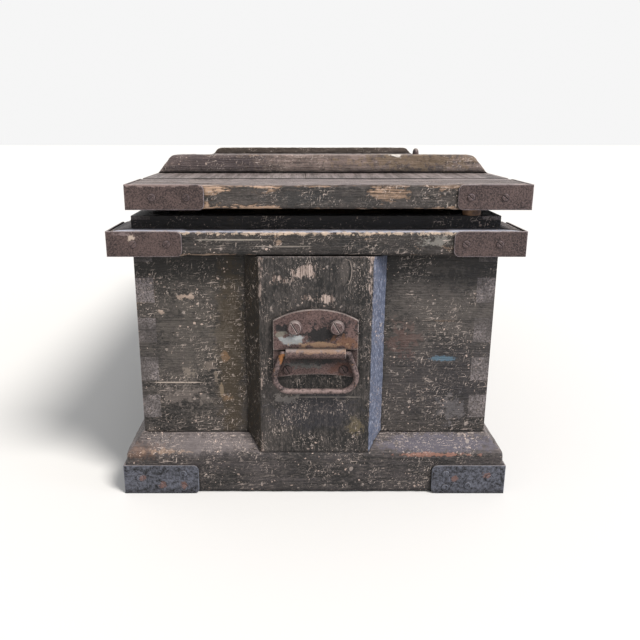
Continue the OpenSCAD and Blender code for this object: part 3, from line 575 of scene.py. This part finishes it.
# Two battens cross the lid, fixed from below, with sloped and rounded ends. They are bare
# pine gone dark purple-grey at the back, and browner where the front has been handled.
batten_marks = (
    ((-150, -340, 415), (90, 60, 30), "#3f3639", 0.65, 0.4),
    ((150, -340, 420), (90, 60, 12), "#79664f", 0.5, 0.8),
    ((118, -350, 427), (8, 30, 3), "#c9c4bd", 0.85, 0.4),
    ((0, 340, 410), (400, 60, 60), "#33291e", 0.75, 0.2),
)
batten_wood = painted_pine("weathered_pine_batten", "X", ("#372d2a", "#7c6c66"), ("#54433a", "#a08b7a"),
                           edges="attribute", flaking=0.4, dust=0.5, marks=batten_marks)
for node in ("batten_near", "batten_far"):
    worn_board((node,), "lid", 0.002, 4).data.materials.append(batten_wood)

# Two pads of harness leather on the walls' front corners keep the lid off the walls. They were
# cut from an old strap and are hard with age.

# Warm brown with a fine pebbled grain, a little shiny
leather = bpy.data.materials.new("hard_brown_harness_leather")
leather.use_nodes = True
tree = leather.node_tree
shader = tree.nodes["Principled BSDF"]
place = add(tree, "TexCoord", out="Object")
grainy = add(tree, "TexVoronoi", {"Vector": place, "Scale": 900.0}, out="Distance")
worn = add(tree, "TexNoise", {"Vector": place, "Scale": 120.0, "Detail": 4.0})
tree.links.new(add(tree, "ValToRGB", [worn], stops=[(0.35, "#4a3325"), (0.65, "#7a5b40")]),
               shader.inputs["Base Color"])
tree.links.new(add(tree, "Bump", {"Height": grainy, "Distance": 0.0003}), shader.inputs["Normal"])
shader.inputs["Roughness"].default_value = 0.6
dress(["lid_rest_pads"], leather)


# Wrought iron straps wrap the corners of the lid, collar and plinth. A century of damp has
# given them an even skin of purple-brown rust, pitted all over and rubbed bright on the edges,
# where a painted highlight is added too.

# Sizes in metres: how wide the pale edges of wear and painted highlight are, and how deep the pits
FRESH = "#543b2e"
IRON_DUST = "#857b79"
# Colour of the painted shade in the iron's inside corners and under overhangs
IRON_PAINTED_SHADE = "#39302b"
PALE_EDGE_RADIUS = 0.0020
IRON_RELIEF = 0.0009


def rusted_iron(name, dark, light, edge_wear_and_highlight, orange, orange_share, pit, marks=(), dust=0.7):
    """Old iron: rubbed is the colour of its edges, worn pale and with a painted highlight, orange
    that of fresh rust, orange_share how much of that there is, and pit the pits' width in metres;
    marks are as on the wood."""
    material = bpy.data.materials.new(name)
    material.use_nodes = True
    tree = material.node_tree
    shader = tree.nodes["Principled BSDF"]
    place = add(tree, "TexCoord", out="Object")
    skin = add(tree, "TexNoise", {"Vector": place, "Scale": 0.5 / pit, "Detail": 6.0, "Roughness": 0.75})
    broad = add(tree, "TexNoise", {"Vector": place, "Scale": 38.0, "Detail": 3.0})
    tone = add(tree, "Math", [skin, 0.8, add(tree, "Math", [broad, 0.2], operation="MULTIPLY")],
               operation="MULTIPLY_ADD")
    colour = add(tree, "ValToRGB", [tone], stops=[(0.41, dark), (0.58, light)])
    patch = add(tree, "TexNoise", {"Vector": place, "Scale": 75.0, "Detail": 6.0, "Roughness": 0.7})
    start = 0.72 - 0.25 * orange_share
    fresh = add(tree, "ValToRGB", [patch], stops=[(start, 0.0), (start + 0.08, 0.85)])
    colour = add(tree, "Mix", {0: fresh, 6: colour, 7: orange}, out=2, data_type="RGBA")
    # Pale edges: worn by rubbing, with a painted highlight where light catches the rounding
    rounded = add(tree, "Bevel", {"Radius": PALE_EDGE_RADIUS}, samples=6)
    flat = add(tree, "NewGeometry", out="Normal")
    turned = add(tree, "VectorMath", [rounded, flat], out="Value", operation="DOT_PRODUCT")
    edge = add(tree, "ValToRGB", [turned], stops=[(0.82, 0.95), (0.995, 0.0)])
    patchy = add(tree, "ValToRGB", [patch], stops=[(0.35, 0.2), (0.6, 1.0)])
    edge = add(tree, "Math", [edge, patchy], operation="MULTIPLY")
    colour = add(tree, "Mix", {0: edge, 6: colour, 7: edge_wear_and_highlight}, out=2, data_type="RGBA")
    up = add(tree, "SeparateXYZ", [add(tree, "TexCoord", out="Normal")], out=2)
    dusty = add(tree, "ValToRGB", [up], stops=[(0.5, 0.0), (0.9, dust)])
    colour = add(tree, "Mix", {0: dusty, 6: colour, 7: IRON_DUST}, out=2, data_type="RGBA")
    for centre, size, tint, amount, *ragged in marks:
        here = mark(tree, place, centre, size, *ragged)
        here = add(tree, "Math", [here, amount], operation="MULTIPLY")
        colour = add(tree, "Mix", {0: here, 6: colour, 7: tint}, out=2, data_type="RGBA")
    # Painted shade from ambient occlusion, dark in inside corners and under overhangs
    open_air = add(tree, "AmbientOcclusion", {"Distance": 0.012}, out="AO", samples=8)
    painted_crevice_shade = add(tree, "ValToRGB", [open_air], stops=[(0.30, IRON_PAINTED_SHADE), (0.88, "#ffffff")])
    colour = add(tree, "Mix", {0: 1.0, 6: colour, 7: painted_crevice_shade}, out=2, data_type="RGBA",
                 blend_type="MULTIPLY")
    tree.links.new(colour, shader.inputs["Base Color"])
    dull = add(tree, "ValToRGB", [tone], stops=[(0.3, 0.85), (0.65, 0.5)])
    tree.links.new(dull, shader.inputs["Roughness"])
    shader.inputs["Metallic"].default_value = 0.3
    bump = add(tree, "Bump", {"Height": skin, "Distance": IRON_RELIEF, "Strength": 0.9,
                              "Normal": rounded})
    tree.links.new(bump, shader.inputs["Normal"])
    return material


# Matt and purple-brown, with pale edges; one bright knock and two rubbed streaks on the straps
# of the near end. The screws' slots are full of the same rust.
strap_marks = (
    ((-219, -545, 340), (6, 5, 5), "#b5a598", 0.75, 0.6, 0.5),
    ((-232, -545, 344), (14, 5, 2), "#7d6f70", 0.5, 0.6),
    ((-190, -545, 402), (50, 8, 3), "#8a7874", 0.6, 0.5),
)
strap_rust = rusted_iron("purple_brown_rust_on_wrought_iron", "#1b1213", "#52423f", "#a1979c", FRESH,
                         0.1, 0.0009, marks=strap_marks)
strap_screws = rusted_iron("rust_filled_strap_screws", "#1b1213", "#52423f", "#6d6064", FRESH,
                           0.1, 0.0009)
dress([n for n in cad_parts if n.startswith(("lid_straps", "collar_straps"))], strap_rust)
dress(["lid_strap_screws", "collar_strap_screws"], strap_screws)

# The straps at the foot are nailed on, blue-black where old japanning still clings to the iron,
# with brown rings of rust round the nail heads.
NAIL_RINGS = ((-226, 22), (-199, 12), (-172, 12), (226, 27), (184, 22))
base_marks = tuple(((x, -545, z), (5, 6, 5), "#6b4c42", 0.6) for x, z in NAIL_RINGS)
japanned = rusted_iron("worn_black_japan_on_iron", "#0f0f13", "#53555f", "#7c808c", "#3a3030",
                       0.12, 0.0018, marks=base_marks)
dress([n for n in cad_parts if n.startswith("base_strap")], japanned)

# Chest handles: a backing plate with a long clip over it whose lower edge is rolled round the
# bail, two fat slotted screws, and a bail bent from 7 mm rod. Rust over all of it, black grease
# between the screws, orange on the right shoulder and the barrel, and a smear of grey paint.
handle_marks = (
    ((8, -548, 221), (34, 6, 10), "#0c0b0d", 0.96, 0.55),
    ((22, -548, 233), (20, 6, 8), "#171416", 0.75, 1.0),
    ((-43, -548, 229), (10, 6, 5), "#111013", 0.92, 0.5),
    ((-44, -548, 221), (10, 6, 4), "#76756b", 0.6, 0.4),
    ((-28, -548, 214), (17, 6, 7), "#8e9394", 0.75, 0.4),
    ((-20, -548, 217), (9, 6, 3), "#a9abac", 0.4, 0.5),
    ((36, -548, 211), (18, 6, 8), "#65452f", 0.65, 0.5),
    ((8, -549, 208), (30, 6, 3), "#8a7058", 0.7, 0.6),
    ((4, -556, 203), (36, 12, 4), "#7d6350", 0.6, 0.7),
    ((-12, -546, 181), (30, 3, 5), "#4f5452", 0.6, 0.6),
    # Painted shade across the lower plate under the barrel
    ((0, -546, 186), (44, 3, 6), "#100d0e", 0.7, 0.4),
    ((12, -546, 184), (9, 3, 4), "#0f0e10", 0.8, 0.5),
    ((34, -546, 176), (18, 3, 8), "#4b2b1e", 0.6, 0.6),
)
# Brown and matt, rubbed pale along the clip's rolled edge
handle_rust = rusted_iron("brown_rust_on_handle_iron", "#241716", "#604c49", "#a89e99", "#6a4733",
                          0.35, 0.0009, marks=handle_marks)
dress([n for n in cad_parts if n.startswith(("handle_plate", "handle_clip"))], handle_rust)
# The screw heads are paler than the plate, but for the two low ones, which carry painted shade from the
# barrel above them
low_screw_painted_shade = (((0, -548, 174), (60, 9, 12), "#30201f", 0.85, 0.1),)
screw_rust = rusted_iron("brown_rust_on_screw_heads", "#2b1e1d", "#6c5957", "#a89d9a", "#6f4c34",
                         0.15, 0.0008, marks=low_screw_painted_shade)
dress([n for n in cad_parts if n.startswith("handle_screws")], screw_rust)
# The bail is coarser and browner, and rubbed pale along the grip
arm_marks = (
    ((-41, -552, 192), (5, 10, 7), "#86541f", 0.75, 0.5),
    ((0, -552, 148), (60, 12, 3), "#8d7a76", 0.4, 0.5),
)
bail_rust = rusted_iron("hand_worn_rust_on_bail", "#150e0f", "#6b5a58", "#a19289", "#7b5a43",
                        0.45, 0.0016, marks=arm_marks, dust=0.0)
dress(["bail_near", "bail_far"], bail_rust)

# Hinges, hasp and staple are the smith's plain black iron, rusted like the straps.
dress([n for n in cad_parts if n.startswith(("hinge", "hasp"))] + ["lid_staple"], strap_rust)

# The sliding till is a tray of thin pine on two runners, unpainted and dark with handling.
TILL_PINE = ("#574636", "#7a664f")
till_wood = painted_pine("handled_pine_lengthwise", "Y", TILL_PINE, flaking=0.3, dust=0.15,
                         scratches=0.3)
till_wood_x = painted_pine("handled_pine_across", "X", TILL_PINE, flaking=0.3, dust=0.15,
                           scratches=0.3)
dress(["till_runners", "till_sides"], till_wood)
dress(["till_ends", "till_bottom"], till_wood_x)
